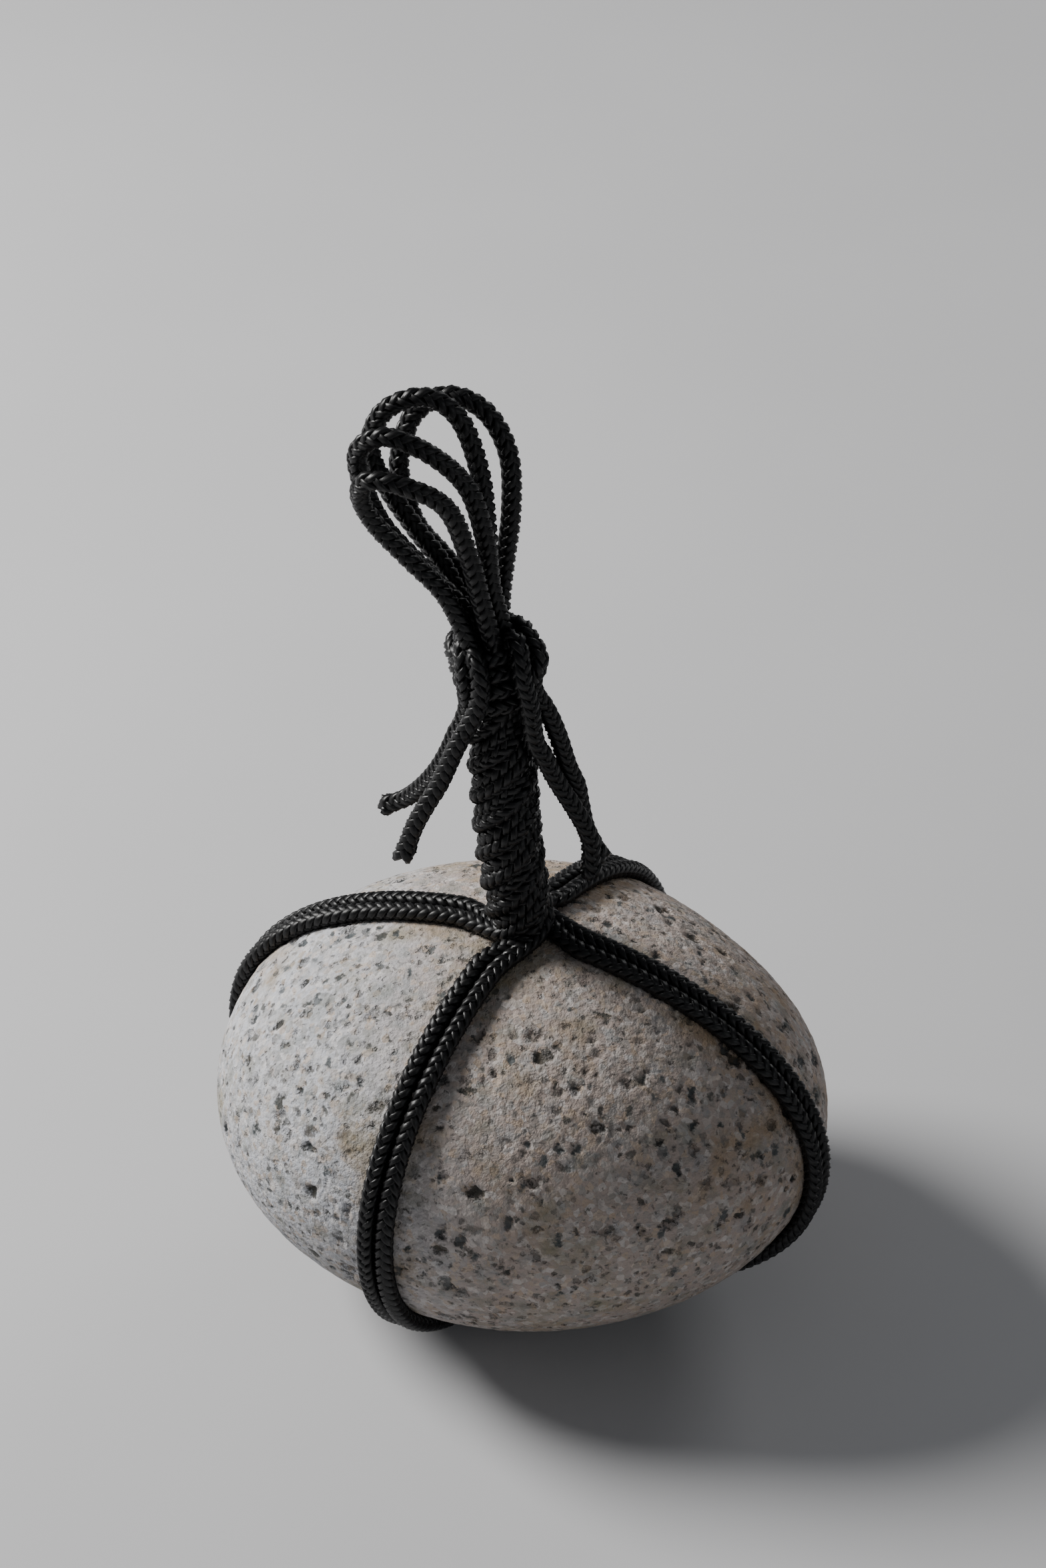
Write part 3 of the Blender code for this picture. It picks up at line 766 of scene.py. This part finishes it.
tailRoutes = {
    "tail_left_1": ((-10.0, -4.5, 125.5), (-11.0, -4.0, 123.0), (-12.5, -2.6, 117.9), (-14.5, -0.6, 112.4),
                    (-17.1, 2.6, 106.5), (-20.1, 6.0, 101.3), (-23.8, 8.2, 98.0)),
    "tail_left_2": ((-9.6, -8.2, 126.3), (-11.2, -7.7, 122.5), (-12.7, -7.1, 118.0), (-14.3, -6.5, 113.5),
                    (-16.3, -6.1, 109.3), (-18.5, -5.4, 103.9), (-20.3, -4.6, 97.3)),
    "tail_right_1": ((3.4, -3.9, 128.6), (4.8, -3.2, 124.8), (6.1, -2.4, 120.1), (7.5, -1.6, 114.2),
                     (9.0, -0.8, 109.6), (9.6, -0.2, 105.6), (10.6, 0.2, 99.8), (12.1, 0.2, 95.9),
                     (13.3, 0.3, 92.8)),
    "tail_right_2": ((1.4, -7.3, 128.4), (1.6, -6.9, 125.9), (2.1, -6.3, 122.5), (3.3, -5.7, 119.7),
                     (5.2, -4.7, 114.2), (8.5, -3.9, 107.1), (10.5, -3.6, 102.6), (11.4, -3.5, 99.5),
                     (11.6, -3.5, 95.5), (11.7, -3.5, 92.4)),
}

loopRoutes = {
    "loop_1": ((-3.7, 4.8, 141.9), (-3.5, 4.6, 146), (-2.9, 4.2, 152), (-1.9, 3.8, 162), (-2.3, 5.2, 172),
               (-6.0, 6.6, 179.2), (-12.0, 7.2, 181.8), (-17.4, 6.7, 178.6), (-19.8, 5.7, 171.1),
               (-19.3, 5.5, 165.4), (-17.2, 5.4, 158.4), (-13.1, 5.5, 152.5), (-9.4, 5.4, 147),
               (-7.2, 4.95, 141.3)),
    "loop_2": ((-4.9, 1.5, 141.65), (-5.4, 1.2, 151), (-5.8, 1.2, 160), (-6.9, 1.6, 171), (-10.1, 1.7, 181),
               (-15.5, 1.7, 184.9), (-22.0, 2.0, 182), (-24.3, 2.3, 174.5), (-21.3, 1.9, 167),
               (-17.2, 1.8, 159.8), (-12.8, 1.85, 152.4), (-8.4, 1.65, 141.05)),
    "loop_3": ((-3.2, -1.6, 142.05), (-5.2, -2.5, 152), (-6.0, -3.2, 161), (-8.6, -5.0, 172),
               (-14.0, -6.6, 179.2), (-21.2, -6.6, 182.8), (-25.7, -4.3, 179), (-25.6, -2.9, 172.4),
               (-22.5, -2.0, 163.4), (-17.3, -1.9, 156.2), (-11.5, -1.85, 149), (-6.7, -1.6, 141.45)),
    "loop_4": ((-4.9, -4.8, 141.65), (-6.8, -5.9, 151), (-8.7, -7.5, 161), (-12.1, -10.2, 172),
               (-18.8, -12.0, 177.2), (-24.2, -10.9, 177.4), (-25.6, -7.7, 172.2), (-23.4, -5.9, 165.8),
               (-18.4, -5.5, 159.2), (-12.6, -5.65, 152), (-8.4, -5.0, 141.05)),
}

endMake = {
    "flareLength": 3.0 * mm,
    "flare": 0.30,
    "unevenCut": 0.3 * mm,
    "cutTurn": 2.4,                # from one yarn to the next, so that the cut is uneven all round
    "loopRootDepth": 4.0 * mm,
    "loopRootTurnsIn": 1.6 * mm,   # the loops' feet lean in under the turns of the knot
}


def wrapRoute(level):
    # two turns of one cord. It steps down to the second turn at the right, under the cords laid over it
    turns = np.linspace(0, 2, knotMake["turnPoints"])
    angle = knotMake["turnsStartAt"] - 2 * np.pi * turns
    tuck = smoothStep(np.minimum(turns, 2 - turns), 0, knotMake["tuckedFor"])
    radius = knotMake["tuckedRadius"] + (knotMake["turnRadius"] - knotMake["tuckedRadius"]) * tuck
    share = knotMake["stepsOver"] / (2 * np.pi)
    height = level - 2 * cordMake["diameter"] * smoothStep(turns, 1 - share / 2, 1 + share / 2)
    lean = knotMake["lean"]
    x = radius * np.cos(angle)
    y = radius * np.sin(angle)
    turned = np.stack([x * math.cos(lean) + height * math.sin(lean), y,
                       height * math.cos(lean) - x * math.sin(lean)], axis=1)
    return turned + fromCrossing(knotMake["centre"])


def declareCord(piece, node):
    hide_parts(node)
    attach(piece, "root")


def makeKnotAndTails(finish):
    strands = []
    for level in (1.5 * cordMake["diameter"], 0.5 * cordMake["diameter"]):
        route = evenPoints(wrapRoute(level), cordMake["ringSpacing"])
        strands.append(braidRings(route, (0, 0, 1)))
    overs = knotMake["leftOver"] + knotMake["rightOver"]
    for over, (node, tail) in zip(overs, tailRoutes.items()):
        # the way over the turns and the tail are one cord, cut in two where the tail comes free
        route = smoothRoute(fromCrossing(over + tail), cordMake["ringSpacing"])
        along = lengthsAlong(route)
        toEnd = along[-1] - along
        swelling = 1 + endMake["flare"] * (1 - smoothStep(toEnd, 0, endMake["flareLength"]))
        rings, along = braidRings(route, (0, -1, 0), swelling)
        for yarn in range(cordMake["yarns"]):
            shift = endMake["unevenCut"] * math.cos(endMake["cutTurn"] * yarn)
            rings[yarn, -1] += (route[-1] - route[-2]) / cordMake["ringSpacing"] * shift
        start = fromCrossing(tail[0])
        cut = int(np.argmin(np.linalg.norm(route - start, axis=1)))
        strands.append((rings[:, :cut + 1], along[:cut + 1]))
        side, number = node.split("_")[1:]
        piece = pieceFromRings("tail" + side.capitalize() + number, [(rings[:, cut:], along[cut:])], finish)
        declareCord(piece, node)
    knot = pieceFromRings("tieKnot", strands, finish)
    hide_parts("knot")
    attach(knot, "root")


def makeLoops(finish):
    for number, (node, places) in enumerate(loopRoutes.items(), 1):
        route = smoothRoute(fromCrossing(places), cordMake["ringSpacing"])
        # both ends go on down into the knot, towards its middle
        ends = []
        for first, second in ((route[0], route[3]), (route[-1], route[-4])):
            down = (first - second) / np.linalg.norm(first - second)
            inwards = (fromCrossing(knotMake["centre"]) - first) * (1, 1, 0)
            inwards /= np.linalg.norm(inwards)
            ends.append(first + down * endMake["loopRootDepth"] + inwards * endMake["loopRootTurnsIn"])
        route = evenPoints(np.vstack([ends[:1], route, ends[1:]]), cordMake["ringSpacing"])
        piece = pieceFromRings("loop" + str(number), [braidRings(route, (0, -1, 0))], finish)
        declareCord(piece, node)


makeCamera()
makeStudio()
print("camera, floor and lights done")
stoneTree = makeCobble()
cordFinish = makeCordFinish()
makeBinding("sideBinding", stoneTree, girth["sideAzimuth"], (0, 2), True, cordFinish,
            ("girth_cord_side_1", "girth_cord_side_2", "handle"))
makeBinding("crossBinding", stoneTree, girth["crossAzimuth"], (1, 3), False, cordFinish,
            ("girth_cord_cross_1", "girth_cord_cross_2", "handle"))
print("bindings and handle done")
makeKnotAndTails(cordFinish)
makeLoops(cordFinish)
print("knot, tails and loops done")
